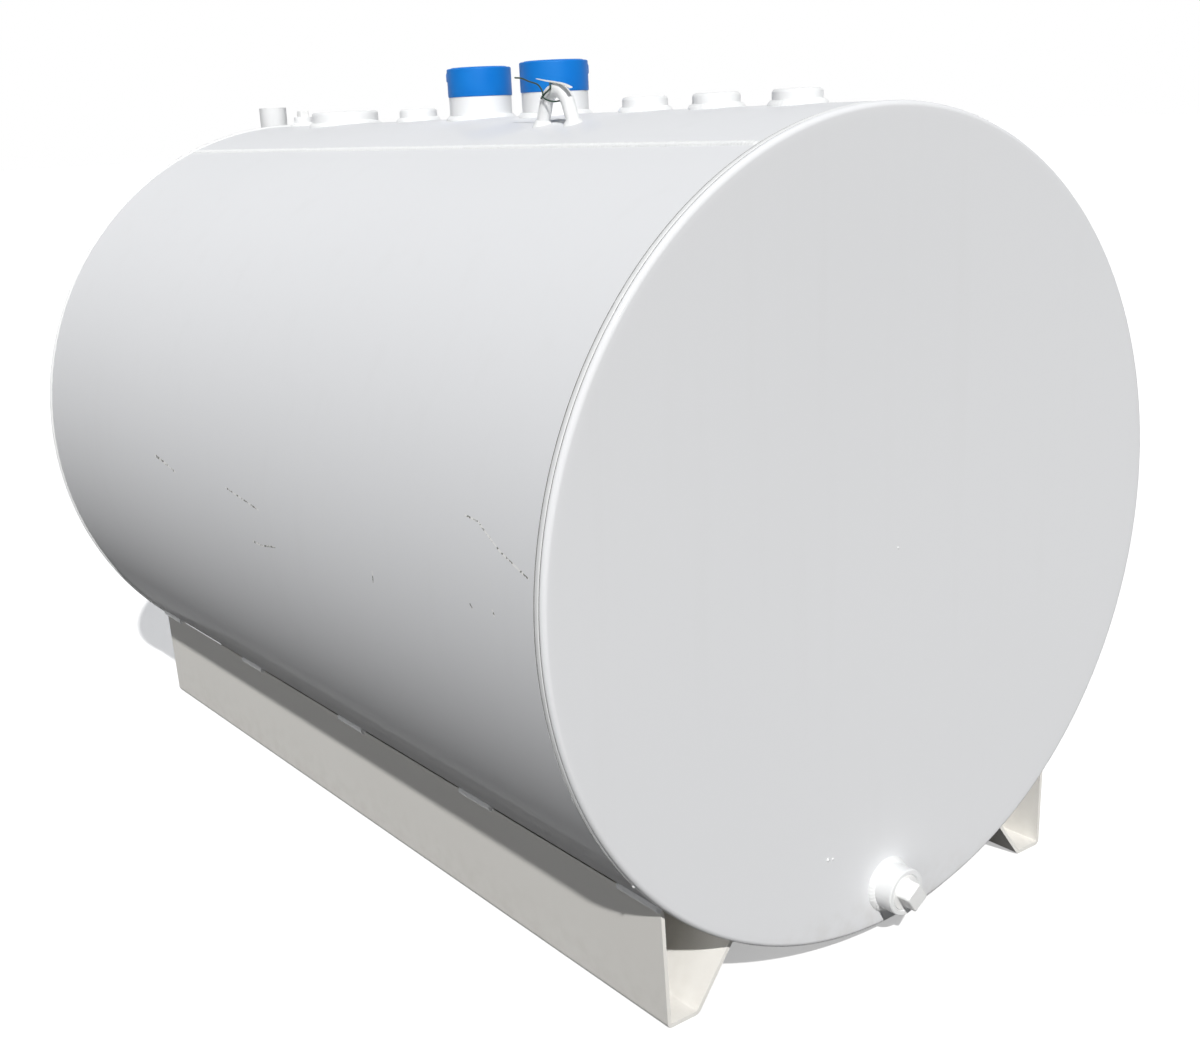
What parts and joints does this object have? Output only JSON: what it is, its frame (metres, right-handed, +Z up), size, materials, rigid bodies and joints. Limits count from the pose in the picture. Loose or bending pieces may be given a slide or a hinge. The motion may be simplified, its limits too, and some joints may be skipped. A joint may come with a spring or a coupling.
{
  "type": "skid tank",
  "caption": "Horizontal cylindrical steel storage tank with flat heads on two folded skids, with threaded couplings, capped vent risers and a plugged drain.",
  "frame": {"origin": "on the ground under the middle of the whole tank's box", "axes": "+X along the tank towards the drain end, +Y across it, +Z up"},
  "size_m": [1.9698, 1.219, 1.3327],
  "materials": {
    "tank_paint": "gloss white paint on rolled plate",
    "skid_paint": "white paint on folded plate",
    "fitting_paint": "white paint on turned steel",
    "weld_paint": "white paint over weld beads",
    "plug_paint": "white paint on cast plugs",
    "lug_paint": "white paint on bent bar",
    "cap_plastic": "satin moulded blue plastic"
  },
  "bodies": {
    "root": {"shell": "tank_paint", "shell_seam": "weld_paint", "front_head": "tank_paint", "back_head": "tank_paint", "front_head_weld": "weld_paint", "back_head_weld": "weld_paint", "left_skid": "skid_paint", "right_skid": "skid_paint", "left_skid_welds": "weld_paint", "right_skid_welds": "weld_paint", "first_coupling": "fitting_paint", "second_coupling": "fitting_paint", "third_coupling": "fitting_paint", "fourth_coupling": "fitting_paint", "fill_coupling": "fitting_paint", "front_riser": "fitting_paint", "rear_riser": "fitting_paint", "front_cap": "cap_plastic", "rear_cap": "cap_plastic", "test_port": "fitting_paint", "test_port_plug": "plug_paint", "fitting_welds": "weld_paint", "drain_coupling": "fitting_paint", "drain_plug": "plug_paint", "drain_weld": "weld_paint", "front_lug": "lug_paint", "rear_lug": "lug_paint", "front_lug_welds": "weld_paint", "rear_lug_welds": "weld_paint", "standpipe": "fitting_paint", "standpipe_elbow": "fitting_paint", "standpipe_weld": "weld_paint", "standpipe_clip": "fitting_paint"}
  },
  "joints": []
}
